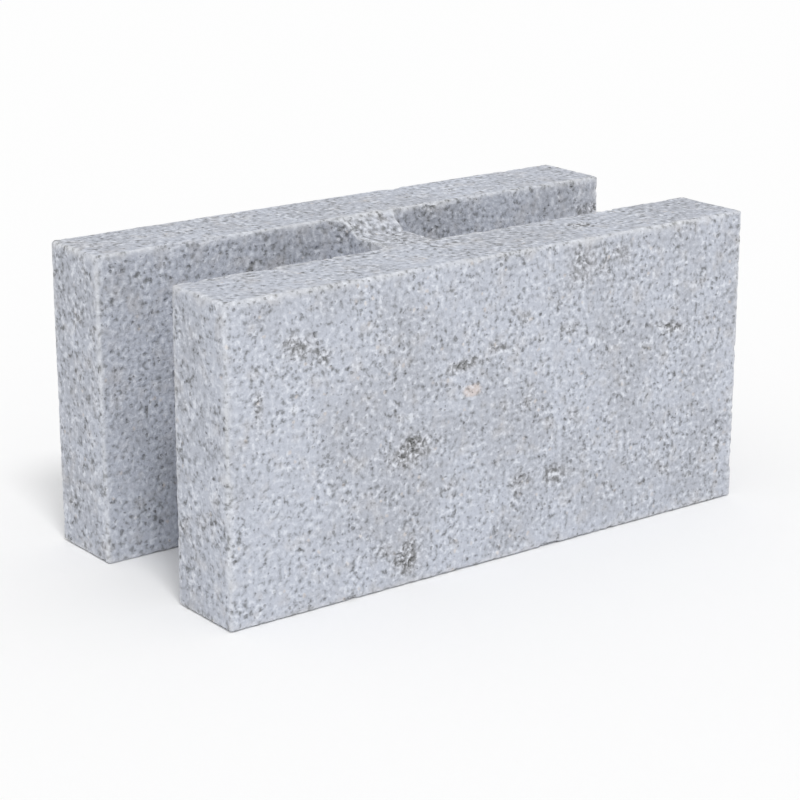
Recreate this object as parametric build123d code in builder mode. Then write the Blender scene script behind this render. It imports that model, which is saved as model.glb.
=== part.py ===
"""A concrete masonry block with both ends open, moulded in one piece.

In plan it is an H: two thick face shells along X, joined half way along by one cross web. The top
of the web is dipped between the shells, so that a reinforcing bar can lie across it below the bed
joint. Millimetres, +Z up, with the origin at the middle of the underside.
"""

import os

from build123d import *

# Outside of the block: one unit of a 400 x 200 x 200 mm wall grid, less the mortar joint
block_length = 397.0
block_depth = 194.0
block_height = 194.0

# Walls, measured at the top of the block, where they are thinnest
shell_thickness = 55.0
web_thickness = 38.0

# Round flare where each side of the web runs into a face shell
flare_radius = 8.0

# Dip in the top of the web: a slope down from each shell, with a level floor between the slopes
dip_depth = 10.5
dip_slope_run = 15.5

# Lean of the cell walls, in degrees, that lets the core formers lift out of the fresh concrete
core_draft = 0.5

# Rounding that the mould leaves along the outside corners
arris_radius = 1.5

# How far a cut runs past the face that it opens
cut_overrun = 5.0

# Places that follow from the sizes above
cell_width = block_depth - 2 * shell_thickness
cell_inner_end = web_thickness / 2
cell_outer_end = block_length / 2 + cut_overrun
dip_half_length = cell_inner_end + flare_radius + cut_overrun
dip_floor_height = block_height - dip_depth
dip_floor_width = cell_width - 2 * dip_slope_run


def outside_faces(part):
    """The two long faces and the four shell ends."""
    across = part.faces().filter_by(Axis.Y).group_by(Axis.Y)
    along = part.faces().filter_by(Axis.X).group_by(Axis.X)
    return across[0] + across[-1] + along[0] + along[-1]


with BuildPart() as concrete_block:
    # The mould box is a plain rectangle. A core former stands in it on each side of the web and
    # keeps one cell open out through the end. Its rounded corners flare the web.
    with BuildSketch():
        Rectangle(block_length, block_depth)
        with BuildSketch(mode=Mode.SUBTRACT):
            with Locations((cell_inner_end, 0)):
                Rectangle(
                    cell_outer_end - cell_inner_end,
                    cell_width,
                    align=(Align.MIN, Align.CENTER),
                )
            fillet(vertices().group_by(Axis.X)[0], flare_radius)
            mirror(about=Plane.YZ)
    extrude(amount=block_height)

    # The cell walls lean in from the top down, so the cells are narrower at the underside.
    cell_walls = faces().filter_by(Axis.Z, reverse=True) - outside_faces(concrete_block)
    draft(cell_walls, Plane.XY.offset(block_height), core_draft)

    # The press shoe leaves the dip across the top of the web.
    with BuildSketch(Plane.YZ):
        with BuildLine():
            Polyline(
                (-cell_width / 2, block_height),
                (-dip_floor_width / 2, dip_floor_height),
                (dip_floor_width / 2, dip_floor_height),
                (cell_width / 2, block_height),
                close=True,
            )
        make_face()
    extrude(amount=dip_half_length, both=True, mode=Mode.SUBTRACT)

    # The outside corners are rounded: all the edges of the long faces and of the shell ends.
    fillet(outside_faces(concrete_block).edges(), arris_radius)

concrete_block.part.label = "concrete_block"

os.makedirs("parts", exist_ok=True)
export_step(concrete_block.part, "parts/concrete_block.step")
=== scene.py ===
import math

import bmesh
import bpy
from mathutils import Matrix, Vector, kdtree, noise


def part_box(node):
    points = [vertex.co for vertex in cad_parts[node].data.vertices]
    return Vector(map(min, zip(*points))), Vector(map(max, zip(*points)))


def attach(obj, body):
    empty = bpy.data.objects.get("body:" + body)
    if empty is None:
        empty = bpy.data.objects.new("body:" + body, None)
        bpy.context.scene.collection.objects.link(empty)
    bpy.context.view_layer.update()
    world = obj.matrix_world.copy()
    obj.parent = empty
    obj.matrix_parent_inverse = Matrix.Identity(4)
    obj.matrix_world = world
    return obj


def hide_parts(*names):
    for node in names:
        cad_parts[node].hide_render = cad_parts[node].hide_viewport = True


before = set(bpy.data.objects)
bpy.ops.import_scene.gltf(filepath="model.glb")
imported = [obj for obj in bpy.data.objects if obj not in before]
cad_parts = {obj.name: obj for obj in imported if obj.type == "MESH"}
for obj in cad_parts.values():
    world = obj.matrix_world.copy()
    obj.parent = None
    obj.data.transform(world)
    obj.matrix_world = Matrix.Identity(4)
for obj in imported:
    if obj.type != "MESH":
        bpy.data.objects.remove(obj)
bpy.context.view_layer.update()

# The block is one piece of dry-cast concrete. A press shakes a stiff mix into a steel mould round two
# core formers and pushes it straight out, so it has two face shells along its length and one web that
# joins them half way, with flared sides and a dip in its top.
block_low, block_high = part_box("concrete_block")
block_length, block_depth, block_height = block_high - block_low
shell_thickness = 0.055
web_thickness = 0.038
flare_radius = 0.008
flare_segments = 6
core_draft = math.radians(0.5)
dip_depth = 0.0105
dip_slope_run = 0.0155
arris_radius = 0.0015
arris_segments = 2
cell_half_width = block_depth / 2 - shell_thickness
web_half = web_thickness / 2
near_enough = 1e-6

# The plan is a rectangle less the two cells, which are open at the ends of the block.
block_form = bmesh.new()
bmesh.ops.create_grid(
    block_form,
    x_segments=1,
    y_segments=1,
    size=0.5,
    matrix=Matrix.Diagonal((block_length, block_depth, 1, 1)),
)
for side in (-1, 1):
    web_side = ((side * web_half, 0, 0), (1, 0, 0))
    shell_side = ((0, side * cell_half_width, 0), (0, 1, 0))
    for place, across in (web_side, shell_side):
        bmesh.ops.bisect_plane(
            block_form,
            geom=block_form.verts[:] + block_form.edges[:] + block_form.faces[:],
            plane_co=place,
            plane_no=across,
        )
cells = []
for face in block_form.faces:
    middle = face.calc_center_median()
    if abs(middle.x) > web_half and abs(middle.y) < cell_half_width:
        cells.append(face)
bmesh.ops.delete(block_form, geom=cells, context="FACES")
bmesh.ops.dissolve_faces(block_form, faces=block_form.faces[:])

# It is drawn up to the block's height, and the inside corners of the web are rounded into flares.
raised = bmesh.ops.extrude_discrete_faces(block_form, faces=block_form.faces[:])
bmesh.ops.translate(block_form, verts=raised["faces"][0].verts[:], vec=(0, 0, block_height))
underside_edges = [edge for edge in block_form.edges if edge.is_boundary]
bmesh.ops.edgeloop_fill(block_form, edges=underside_edges)
bmesh.ops.dissolve_limit(
    block_form,
    angle_limit=math.radians(1),
    verts=block_form.verts[:],
    edges=block_form.edges[:],
)
bmesh.ops.recalc_face_normals(block_form, faces=block_form.faces[:])
web_corners = []
for edge in block_form.edges:
    foot, head = (vert.co for vert in edge.verts)
    upright = abs(head.z - foot.z) > block_height / 2
    if upright and abs(abs(foot.x) - web_half) < near_enough:
        web_corners.append(edge)
bmesh.ops.bevel(
    block_form,
    geom=web_corners,
    offset=flare_radius,
    offset_type="OFFSET",
    segments=flare_segments,
    profile=0.5,
    affect="EDGES",
    material=-1,
)

# The cells are narrower at the underside, by the draft of the core formers.
core_half_width = cell_half_width - flare_radius
core_start = web_half + flare_radius
draft_shift = block_height * math.tan(core_draft)
for vert in block_form.verts:
    if vert.co.z < near_enough and abs(vert.co.y) < cell_half_width + near_enough:
        core_x = math.copysign(max(abs(vert.co.x), core_start), vert.co.x)
        core_y = max(-core_half_width, min(core_half_width, vert.co.y))
        lean = Vector((core_x, core_y, 0)) - vert.co
        vert.co += lean.normalized() * draft_shift

# Wear, and a painted highlight along the edges, are measured from points along every sharp edge, each with
# the way that leads into the concrete. The upper edges of the dip are rubbed and get the painted highlight
# too, but they are too blunt to break. The lines are sorted, so that a corner, where several of them meet,
# wears the same way in each run.
edge_point_spacing = 0.001
sharp_angle = math.radians(40)
wear_and_highlight_lines = []
for edge in block_form.edges:
    if edge.calc_face_angle(0) > sharp_angle:
        first, last = sorted((vert.co.copy() for vert in edge.verts), key=tuple)
        wear_and_highlight_lines.append((first, last, -(edge.link_faces[0].normal + edge.link_faces[1].normal)))
for side in (-1, 1):
    first = Vector((-core_start, side * cell_half_width, block_height))
    last = Vector((core_start, side * cell_half_width, block_height))
    wear_and_highlight_lines.append((first, last, Vector()))
wear_and_highlight_lines.sort(key=lambda line: (tuple(line[0]), tuple(line[1])))
edge_points = []
edge_inward = []
for first, last, inward in wear_and_highlight_lines:
    steps = max(1, round((last - first).length / edge_point_spacing))
    for step in range(steps + 1):
        edge_points.append(first.lerp(last, step / steps))
        edge_inward.append(inward)
arris_finder = kdtree.KDTree(len(edge_points))
for index, point in enumerate(edge_points):
    arris_finder.insert(point, index)
arris_finder.balance()

# The mould rounds the edges of the long faces and of the shell ends.
outside_edges = []
for edge in block_form.edges:
    ends = [vert.co for vert in edge.verts]
    on_long_face = all(abs(abs(end.y) - block_depth / 2) < near_enough for end in ends)
    on_end = all(abs(abs(end.x) - block_length / 2) < near_enough for end in ends)
    if on_long_face or on_end:
        outside_edges.append(edge)
bmesh.ops.bevel(
    block_form,
    geom=outside_edges,
    offset=arris_radius,
    offset_type="OFFSET",
    segments=arris_segments,
    profile=0.5,
    affect="EDGES",
    material=-1,
)
block_mesh = bpy.data.meshes.new("moulded_block")
block_form.to_mesh(block_mesh)
block_form.free()
block = bpy.data.objects.new("moulded_block", block_mesh)
bpy.context.scene.collection.objects.link(block)


def settle_modifiers(item):
    """Gives an object the mesh that its modifiers make, and takes them off."""
    depsgraph = bpy.context.evaluated_depsgraph_get()
    item.data = bpy.data.meshes.new_from_object(item.evaluated_get(depsgraph))
    item.modifiers.clear()


# A fine even mesh takes the relief of the surface.
mesh_step = 0.0008
remesh = block.modifiers.new("even_mesh", "REMESH")
remesh.mode = "VOXEL"
remesh.voxel_size = mesh_step
settle_modifiers(block)

# Patches of the front face where paste is missing, so that the gaps between the grains show: from its left
# end, up from its foot, half length and half height in metres, tilt in degrees, and share of paste missing.
front_patches = (
    (0.050, 0.160, 0.013, 0.008, -20, 0.95),
    (0.067, 0.152, 0.005, 0.006, 0, 0.75),
    (0.130, 0.084, 0.016, 0.009, 10, 1.00),
    (0.127, 0.017, 0.010, 0.010, 0, 1.00),
    (0.111, 0.025, 0.007, 0.005, 0, 0.70),
    (0.170, 0.130, 0.015, 0.004, 5, 1.00),
    (0.193, 0.136, 0.009, 0.004, -10, 0.85),
    (0.340, 0.125, 0.012, 0.004, -15, 1.00),
    (0.261, 0.177, 0.012, 0.011, 0, 0.75),
    (0.293, 0.180, 0.010, 0.006, -20, 0.65),
    (0.200, 0.099, 0.004, 0.005, 0, 0.70),
    (0.219, 0.098, 0.004, 0.005, 0, 0.70),
    (0.257, 0.083, 0.008, 0.005, -30, 0.70),
    (0.216, 0.047, 0.010, 0.006, 0, 0.65),
    (0.244, 0.046, 0.012, 0.006, 0, 0.65),
    (0.252, 0.140, 0.008, 0.004, 0, 0.65),
    (0.216, 0.151, 0.004, 0.005, 0, 0.65),
    (0.022, 0.130, 0.003, 0.010, 0, 0.80),
    (0.332, 0.033, 0.010, 0.004, -40, 0.70),
    (0.384, 0.038, 0.005, 0.004, 0, 0.70),
)
front_patch_frames = []
for from_left, up, half_length, half_height, tilt, missing_share in front_patches:
    middle = Vector((block_low.x + from_left, block_low.z + up))
    along = Vector((math.cos(math.radians(tilt)), math.sin(math.radians(tilt))))
    front_patch_frames.append((middle, along / half_length, along.orthogonal() / half_height, missing_share))
facing_share = 0.7
patch_ragged_share = 0.5
patch_ragged_spacing = 0.006
patch_core_share = 0.3
patch_rim_share = 1.6
loose_spacing = 0.034
loose_ragged_share = 0.4
loose_ragged_spacing = 0.008
loose_start_share = 0.45
loose_full_share = 0.90
dip_open_and_shade_share = 0.5


def rise(value, start, end):
    """0 below start and 1 above end, with a soft step between them."""
    share = max(0.0, min(1.0, (value - start) / (end - start)))
    return share * share * (3 - 2 * share)


def paste_missing(place, normal):
    """Share of the paste that is missing: in the front patches, in the dip, where it also paints shade, and
    at random elsewhere.
    """
    if normal.y < -facing_share and place.y < block_low.y + arris_radius:
        flat = Vector((place.x, place.z))
        ragged = patch_ragged_share * noise.noise(place / patch_ragged_spacing)
        most = 0.0
        for middle, along, up, missing_share in front_patch_frames:
            offset = flat - middle
            reach = math.hypot(offset.dot(along), offset.dot(up)) + ragged
            if reach < patch_rim_share:
                most = max(most, missing_share * (1 - rise(reach, patch_core_share, patch_rim_share)))
        return most
    loose = noise.noise(place / loose_spacing)
    loose += loose_ragged_share * noise.noise(place / loose_ragged_spacing)
    most = rise(loose, loose_start_share, loose_full_share)
    # The dip's floor is opened more: partly a looser texture with real gaps, partly painted shade that makes
    # the recess darker.
    if normal.z > facing_share:
        most = max(most, dip_open_and_shade_share * rise(cell_half_width - abs(place.y), 0, dip_slope_run))
    return most


# Pits are where a grain has come out. Small ones are many, and large ones few. Their ragged outlines take a
# fixed seed, because without one the noise starts from the time of day.
ragged_seed = 1
noise.seed_set(ragged_seed)
small_pits = {"spacing": 0.0054, "pitted_share": 0.48, "widest": 0.0030, "deepest": 0.0011}
large_pits = {"spacing": 0.016, "pitted_share": 0.45, "widest": 0.0050, "deepest": 0.0020}
pit_ragged_width = 0.0012
pit_ragged_spacing = 0.0024
luck_stride = 7.31


def pit(place, spacing, pitted_share, widest, deepest):
    """Depth of the pit nearest to a place. Not every spot has one."""
    distances, spots = noise.voronoi(place / spacing)
    luck_share = noise.cell(spots[0] * luck_stride) / 2 + 0.5
    if luck_share > pitted_share:
        return 0.0
    size_share = (1 + luck_share / pitted_share) / 2
    reach = distances[0] * spacing / (widest / 2 * size_share)
    return deepest * size_share * max(0.0, 1 - reach * reach)


# Where paste is missing, winding gaps run between the grains.
gap_spacing = 0.0042
gap_width = 0.0016
gap_bend_spacing = 0.006
gap_depth = 0.0016
gap_ragged_share = 0.35
gap_floor_share = 0.06
gap_rim_share = 0.10
gap_rim_growth_share = 0.20


def gap(place, missing):
    """Depth of the gaps at a place. They are wider where more of the paste is missing."""
    bent = place + noise.noise_vector(place / gap_bend_spacing) * gap_width
    ridge = abs(noise.noise(bent / gap_spacing)) + gap_ragged_share * abs(noise.noise(bent / gap_width))
    rim_share = gap_rim_share + gap_rim_growth_share * missing
    return gap_depth * missing * (1 - rise(ridge, gap_floor_share * missing, rim_share))


# Arrises crumble when the block is pushed out and stacked: a little all along, and more in a few stretches.
least_chip = 0.0007
crumb_size = 0.0012
crumb_spacing = 0.0055
crumb_shares = (-0.3, 0.5)
chip_size = 0.0035
chip_spacing = 0.017
chip_shares = (0.2, 0.9)
chip_ragged_share = 0.4
widest_chip = least_chip + crumb_size + chip_size
# The rubbed band along the arrises is paler, partly dust from wear and partly a painted highlight.
rub_highlight_width = 0.0045
rub_highlight_ragged_share = 0.6


def chip(place):
    """How far an arris is broken back at a place."""
    crumbs = noise.noise(place / crumb_spacing)
    chips = noise.noise(place / chip_spacing) + chip_ragged_share * crumbs
    return least_chip + crumb_size * rise(crumbs, *crumb_shares) + chip_size * rise(chips, *chip_shares)


# Each point of the surface sinks by the relief there, and what it sank by is kept for the material, which
# paints shade into the pits and gaps by their depth.
swell_depth = 0.00022
swell_spacing = 0.040
grain_depth = 0.00036
grain_spacing = 0.0034
sunk = []
opened = []
rubbed_highlight = []
worn_places = []
places = [vert.co.copy() for vert in block.data.vertices]
normals = [vert.normal.copy() for vert in block.data.vertices]
for place, normal in zip(places, normals):
    swell = swell_depth * (1 + noise.noise(place / swell_spacing)) / 2
    grain = grain_depth * (1 + noise.noise(place / grain_spacing)) / 2
    ragged = place + noise.noise_vector(place / pit_ragged_spacing) * pit_ragged_width
    hole = max(pit(ragged, **small_pits), pit(ragged, **large_pits))
    missing = paste_missing(place, normal)
    if missing > 0:
        hole = max(hole, gap(place, missing))
    worn = place - normal * (swell + grain + hole)
    arris_place, nearest, to_arris = arris_finder.find(place)
    if to_arris < widest_chip:
        worn += edge_inward[nearest] * max(0.0, chip(place) - to_arris) / 2
    rubbed_highlight_width = rub_highlight_width * (1 + rub_highlight_ragged_share * noise.noise(place / chip_spacing))
    sunk.append(hole)
    opened.append(missing)
    rubbed_highlight.append(1 - rise(to_arris, arris_radius / 2, rubbed_highlight_width))
    worn_places.append(worn)

# The dip in the top of the web lowers what is between the shells, by its share of the height.
for vert, place in zip(block.data.vertices, worn_places):
    inside = cell_half_width - abs(place.y)
    if inside > 0:
        drop = dip_depth * min(1.0, inside / dip_slope_run)
        place.z *= 1 - drop / block_height
    vert.co = place
for name, values in (("sunk", sunk), ("opened", opened), ("rubbed_highlight", rubbed_highlight)):
    block.data.attributes.new(name, "FLOAT", "POINT").data.foreach_set("value", values)

# Flat stretches need fewer faces, so the mesh is thinned there, and faces that this folds are eased.
most_triangles = 190_000
folded_angle = math.radians(120)
easing_passes = 8
easing_share = 0.5
thin = block.modifiers.new("thin_flat_stretches", "DECIMATE")
thin.ratio = most_triangles / (2 * len(block.data.polygons))
settle_modifiers(block)
thinned = bmesh.new()
thinned.from_mesh(block.data)
for easing in range(easing_passes):
    folds = [edge for edge in thinned.edges if edge.calc_face_angle(0) > folded_angle]
    fold_verts = list(dict.fromkeys(vert for edge in folds for vert in edge.verts))
    bmesh.ops.smooth_vert(
        thinned,
        verts=fold_verts,
        factor=easing_share,
        use_axis_x=True,
        use_axis_y=True,
        use_axis_z=True,
    )
    thinned.normal_update()
thinned.to_mesh(block.data)
thinned.free()
block.data.shade_smooth()


def node(tree, kind, settings=None, **inputs):
    """A node with its settings. Each input, by name or i with its number, is a value or another's output."""
    made = tree.nodes.new(kind)
    for name, value in (settings or {}).items():
        setattr(made, name, value)
    for name, value in inputs.items():
        socket = made.inputs[int(name[1:]) if name[1:].isdigit() else name.replace("_", " ")]
        if isinstance(value, bpy.types.NodeSocket):
            tree.links.new(value, socket)
        else:
            socket.default_value = value
    return made


def calc(tree, operation, *values):
    """The output of a Math node."""
    inputs = {f"i{index}": value for index, value in enumerate(values)}
    return node(tree, "ShaderNodeMath", {"operation": operation}, **inputs).outputs[0]


def stretched(tree, vector, scale, offset):
    """The output of a node that scales a vector and adds another."""
    settings = {"operation": "MULTIPLY_ADD"}
    return node(tree, "ShaderNodeVectorMath", settings, i0=vector, i1=scale, i2=offset).outputs[0]


def soft_step(tree, value, step):
    """The output of a node that goes softly from low at start to high at end, the four parts of a step."""
    start, end, low, high = step
    settings = {"interpolation_type": "SMOOTHSTEP"}
    made = node(tree, "ShaderNodeMapRange", settings, i0=value, i1=start, i2=end, i3=low, i4=high)
    return made.outputs[0]


def tint(tree, colour, other, factor):
    """The output of a node that mixes another colour in."""
    made = tree.nodes.new("ShaderNodeMix")
    made.data_type = "RGBA"
    for identifier, value in (("Factor_Float", factor), ("A_Color", colour), ("B_Color", other)):
        socket = next(item for item in made.inputs if item.identifier == identifier)
        if isinstance(value, bpy.types.NodeSocket):
            tree.links.new(value, socket)
        else:
            socket.default_value = value
    return next(item for item in made.outputs if item.identifier == "Result_Color")


# The concrete is pale blue-grey paste and sand, with pores between the grains, whose dark colour is painted
# shade in the holes. Noise spreads each of its looks, and a step says between which values of the noise a
# look comes in, and its strength at both.
paste_colour = (0.532, 0.560, 0.632, 1)
shade_colour = (0.464, 0.484, 0.540, 1)
beige_colour = (0.590, 0.560, 0.540, 1)
pore_shade_colour = (0.103, 0.104, 0.094, 1)
pale_colour = (0.875, 0.905, 0.965, 1)
sandy_colour = (0.68, 0.61, 0.56, 1)
warm_colour = (0.76, 0.63, 0.56, 1)
dust_and_highlight_colour = (0.74, 0.75, 0.77, 1)
blotches_per_metre = 17.0
crowds_per_metre = 75.0
sand_per_metre = 290.0
ragged_width = 0.0036
concrete = bpy.data.materials.new("dry_cast_concrete")
concrete.use_nodes = True
tree = concrete.node_tree
tree.nodes.clear()
where = node(tree, "ShaderNodeTexCoord").outputs["Object"]
opened_share = node(tree, "ShaderNodeAttribute", {"attribute_name": "opened"}).outputs["Fac"]
sunk_depth = node(tree, "ShaderNodeAttribute", {"attribute_name": "sunk"}).outputs["Fac"]
rubbed_highlight_share = node(tree, "ShaderNodeAttribute", {"attribute_name": "rubbed_highlight"}).outputs["Fac"]
blotch_look = {"Scale": blotches_per_metre, "Detail": 3.0, "Roughness": 0.7}
crowd_look = {"Scale": crowds_per_metre, "Detail": 2.0, "Roughness": 0.6}
sand_look = {"Scale": sand_per_metre, "Detail": 3.0, "Roughness": 0.55}
blotch_noise = node(tree, "ShaderNodeTexNoise", Vector=where, **blotch_look)
crowd_noise = node(tree, "ShaderNodeTexNoise", Vector=where, **crowd_look)
sand_noise = node(tree, "ShaderNodeTexNoise", Vector=where, **sand_look)
blotches = blotch_noise.outputs["Fac"]
sand = sand_noise.outputs["Fac"]
crowd_parts = node(tree, "ShaderNodeSeparateColor", i0=crowd_noise.outputs["Color"])
crowding, looseness, beigeness = crowd_parts.outputs
ragged_where = stretched(tree, sand_noise.outputs["Color"], Vector.Fill(3, ragged_width), where)

# Sand is paler on its grains, and painted shade darkens the hollows between them, most of all where paste is
# missing.
loose_step = (0.50, 0.75, 0.0, 0.055)
bared_hollow_share = 0.09
busy_step = (0.36, 0.60, 0.55, 1.0)
light_sand_step = (0.50, 0.69, 0.0, 0.60)
sand_hollow_shade_step = (0.49, 0.29, 0.0, 0.70)
loosened = soft_step(tree, looseness, loose_step)
hollowed = calc(tree, "MULTIPLY_ADD", opened_share, bared_hollow_share, loosened)
hollow = calc(tree, "SUBTRACT", sand, hollowed)
busy = calc(tree, "MAXIMUM", soft_step(tree, crowding, busy_step), opened_share)
light_sand = calc(tree, "MULTIPLY", soft_step(tree, sand, light_sand_step), busy)
sand_hollow_shade = calc(tree, "MULTIPLY", soft_step(tree, hollow, sand_hollow_shade_step), busy)

# Pores are small and uneven, and some spots have none. They are painted dark, as shade in the holes.
pores_per_metre = 290.0
pore_room_step = (0.35, 0.65, 0.22, 0.44)
pore_luck_step = (0.45, 1.0, 0.0, 1.0)
pore_edge_step = (-0.18, 0.06, 0.45, 0.0)
pores = node(tree, "ShaderNodeTexVoronoi", Vector=ragged_where, Scale=pores_per_metre)
pore_luck = node(tree, "ShaderNodeSeparateColor", i0=pores.outputs["Color"]).outputs[0]
pore_room = soft_step(tree, crowding, pore_room_step)
pore_size = calc(tree, "MULTIPLY", soft_step(tree, pore_luck, pore_luck_step), pore_room)
pore_edge = calc(tree, "SUBTRACT", pores.outputs["Distance"], pore_size)
pore_shade_mask = soft_step(tree, pore_edge, pore_edge_step)

# A few of the coarser grains are pale or sandy.
grains_per_metre = 210.0
grain_edge_step = (0.14, 0.36, 1.0, 0.0)
pale_luck_step = (0.80, 1.0, 0.0, 0.6)
sandy_luck_step = (0.94, 0.98, 0.0, 0.5)
grains = node(tree, "ShaderNodeTexVoronoi", Vector=ragged_where, Scale=grains_per_metre)
grain_parts = node(tree, "ShaderNodeSeparateColor", i0=grains.outputs["Color"])
pale_luck = grain_parts.outputs["Red"]
sandy_luck = grain_parts.outputs["Green"]
grain_round = soft_step(tree, grains.outputs["Distance"], grain_edge_step)
pale_mask = calc(tree, "MULTIPLY", grain_round, soft_step(tree, pale_luck, pale_luck_step))
sandy_mask = calc(tree, "MULTIPLY", grain_round, soft_step(tree, sandy_luck, sandy_luck_step))

# The paste is shaded in blotches and a little beige in places, and paler where it is rubbed along the
# arrises, partly with dust and partly with a painted highlight.
shade_step = (0.40, 0.62, 0.0, 1.0)
beige_step = (0.50, 0.72, 0.0, 0.28)
bared_beige_share = 0.3
dust_and_highlight_step = (0.35, 0.65, 0.3, 0.65)
colour = tint(tree, paste_colour, shade_colour, soft_step(tree, blotches, shade_step))
bared_beige = calc(tree, "MULTIPLY", opened_share, bared_beige_share)
beige = calc(tree, "MAXIMUM", soft_step(tree, beigeness, beige_step), bared_beige)
colour = tint(tree, colour, beige_colour, beige)
# Pale dust of wear along the arrises, together with a painted highlight there.
dust_and_highlight = calc(tree, "MULTIPLY", rubbed_highlight_share, soft_step(tree, blotches, dust_and_highlight_step))
colour = tint(tree, colour, dust_and_highlight_colour, dust_and_highlight)

# The largest grains at the front face: from its left end, up from its foot, half length and half height in
# metres, and colour.
front_grains = (
    (0.175, 0.113, 0.0080, 0.0046, warm_colour),
    (0.270, 0.128, 0.0036, 0.0032, pale_colour),
    (0.202, 0.114, 0.0034, 0.0026, pale_colour),
    (0.128, 0.105, 0.0036, 0.0028, pale_colour),
    (0.340, 0.155, 0.0032, 0.0030, pale_colour),
    (0.046, 0.125, 0.0038, 0.0032, pale_colour),
)
front_grain_reach = 0.005
front_grain_step = (0.6, 1.1, 0.55, 0.0)
for from_left, up, half_length, half_height, grain_colour in front_grains:
    middle = Vector((block_low.x + from_left, block_low.y, block_low.z + up))
    middle += Vector.Fill(3, ragged_width / 2)
    narrowing = Vector((1 / half_length, 1 / front_grain_reach, 1 / half_height))
    offset = stretched(tree, ragged_where, narrowing, -middle * narrowing)
    away = node(tree, "ShaderNodeVectorMath", {"operation": "LENGTH"}, i0=offset).outputs["Value"]
    colour = tint(tree, colour, grain_colour, soft_step(tree, away, front_grain_step))

# The looks lie over each other, with bared grains last, and the sand and pores have a fine relief as well as
# their painted shade.
pit_shade_step = (0.0003, 0.0014, 0.0, 0.42)
bared_grain_step = (0.53, 0.66, 0.0, 0.5)
matt_step = (0.35, 0.65, 0.97, 0.86)
pale_relief_share = 0.25
pale_gloss_share = 0.25
relief_height = 0.0014
relief_share = 0.9
specular_share = 0.3
colour = tint(tree, colour, pale_colour, light_sand)
colour = tint(tree, colour, pale_colour, pale_mask)
colour = tint(tree, colour, sandy_colour, sandy_mask)
# Painted shade in the hollows between the sand grains.
colour = tint(tree, colour, pore_shade_colour, sand_hollow_shade)
# Painted shade in the pores.
colour = tint(tree, colour, pore_shade_colour, pore_shade_mask)
# Painted shade in the pits and gaps, darker the deeper they are.
colour = tint(tree, colour, pore_shade_colour, soft_step(tree, sunk_depth, pit_shade_step))
bared_grains = calc(tree, "MULTIPLY", opened_share, soft_step(tree, sand, bared_grain_step))
colour = tint(tree, colour, pale_colour, bared_grains)
height = calc(tree, "SUBTRACT", hollow, pore_shade_mask)
height = calc(tree, "MULTIPLY_ADD", pale_mask, pale_relief_share, height)
relief = node(tree, "ShaderNodeBump", Strength=relief_share, Distance=relief_height, Height=height)
roughness = calc(tree, "MULTIPLY_ADD", pale_mask, -pale_gloss_share, soft_step(tree, sand, matt_step))
surface = node(tree, "ShaderNodeBsdfPrincipled", Base_Color=colour, Roughness=roughness)
surface.inputs["Specular IOR Level"].default_value = specular_share
tree.links.new(relief.outputs["Normal"], surface.inputs["Normal"])
node(tree, "ShaderNodeOutputMaterial", Surface=surface.outputs["BSDF"])
block.data.materials.clear()
block.data.materials.append(concrete)
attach(block, "root")
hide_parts("concrete_block")

# The floor is a wide sheet of board with pale matt paint, so that it looks white and takes the shadow of
# the block. It lies just clear of the underside.
floor_radius = 30.0
floor_segments = 64
floor_gap = 0.0002
floor_colour = (0.98, 0.98, 0.98, 1)
floor_form = bmesh.new()
bmesh.ops.create_circle(
    floor_form,
    cap_ends=True,
    segments=floor_segments,
    radius=floor_radius,
    matrix=Matrix.Translation((0, 0, block_low.z - floor_gap)),
)
floor_mesh = bpy.data.meshes.new("studio_floor")
floor_form.to_mesh(floor_mesh)
floor_form.free()
floor = bpy.data.objects.new("studio_floor", floor_mesh)
bpy.context.scene.collection.objects.link(floor)
floor_paint = bpy.data.materials.new("pale_floor_paint")
floor_paint.use_nodes = True
floor_surface = floor_paint.node_tree.nodes["Principled BSDF"]
floor_surface.inputs["Base Color"].default_value = floor_colour
floor_surface.inputs["Roughness"].default_value = 1.0
floor_surface.inputs["Specular IOR Level"].default_value = 0.0
floor.data.materials.append(floor_paint)

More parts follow.
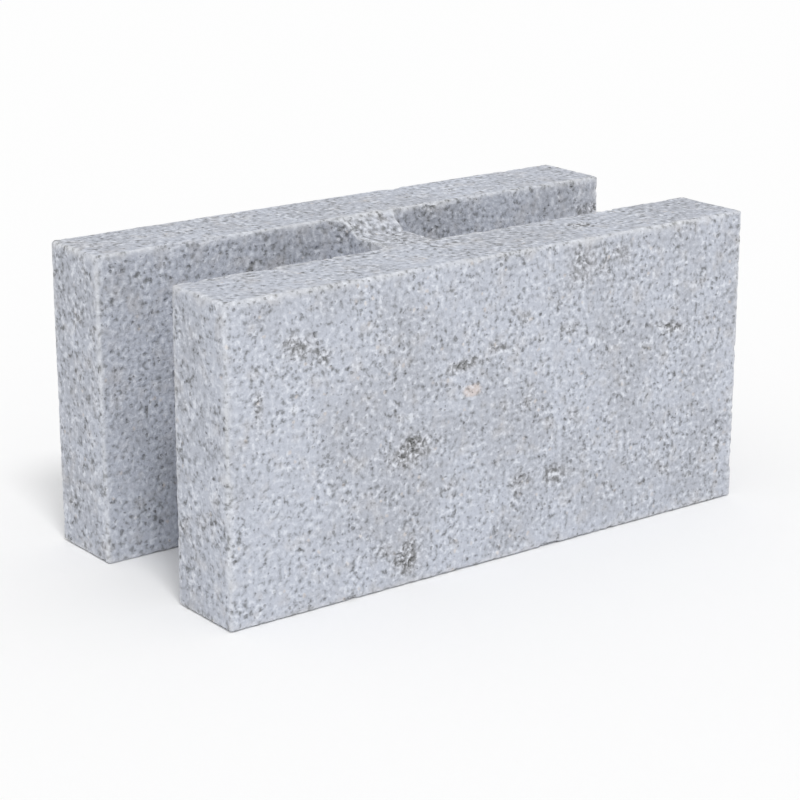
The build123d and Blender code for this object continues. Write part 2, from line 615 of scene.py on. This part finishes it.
# The light is a bright even room, whose walls look white where they are seen, and one lamp high in front
# of the block and a little to its left. The lamp is far away and broad, so its shadows have soft edges.
room_strength = 0.72
white = (1, 1, 1, 1)
room = bpy.data.worlds.new("even_room")
room.use_nodes = True
room_tree = room.node_tree
room_light = room_tree.nodes["Background"]
room_light.inputs["Color"].default_value = white
room_light.inputs["Strength"].default_value = room_strength
white_wall = node(room_tree, "ShaderNodeBackground", Color=white, Strength=1.0)
rays = node(room_tree, "ShaderNodeLightPath").outputs
seen = calc(room_tree, "MAXIMUM", rays["Is Camera Ray"], rays["Is Glossy Ray"])
seen = calc(room_tree, "MAXIMUM", seen, rays["Is Transmission Ray"])
room_sides = {"i1": room_light.outputs[0], "i2": white_wall.outputs[0]}
room_look = node(room_tree, "ShaderNodeMixShader", i0=seen, **room_sides).outputs[0]
room_tree.links.new(room_look, room_tree.nodes["World Output"].inputs["Surface"])
bpy.context.scene.world = room


def toward(azimuth, elevation):
    """The direction of a lamp or camera seen from the block, by angles in degrees from the front."""
    turn = Matrix.Rotation(math.radians(azimuth), 3, "Z") @ Matrix.Rotation(math.radians(-elevation), 3, "X")
    return turn @ Vector((0, -1, 0))


lamp_strength = 1.12
lamp_breadth = math.radians(14)
lamp_direction = toward(azimuth=-20, elevation=54)
lamp_data = bpy.data.lights.new("soft_lamp", "SUN")
lamp_data.energy = lamp_strength
lamp_data.angle = lamp_breadth
lamp = bpy.data.objects.new("soft_lamp", lamp_data)
lamp.rotation_euler = lamp_direction.to_track_quat("Z", "Y").to_euler()
bpy.context.scene.collection.objects.link(lamp)

# The camera stands to the left of the front face and a little above the block, so that the front, the left
# ends, the tops and one cell show. Its long lens keeps the perspective slight.
view_target = Vector((-0.0046, 0, 0.0801))
view_distance = 1.491
view_direction = toward(azimuth=-37.06, elevation=16.94)
view_lens = 105.0
view_end = 100.0
camera_data = bpy.data.cameras.new("camera")
camera_data.lens = view_lens
camera_data.clip_end = view_end
camera = bpy.data.objects.new("camera", camera_data)
camera.location = view_target + view_direction * view_distance
camera.rotation_euler = view_direction.to_track_quat("Z", "Y").to_euler()
bpy.context.scene.collection.objects.link(camera)
bpy.context.scene.camera = camera
bpy.context.scene.view_settings.view_transform = "Standard"
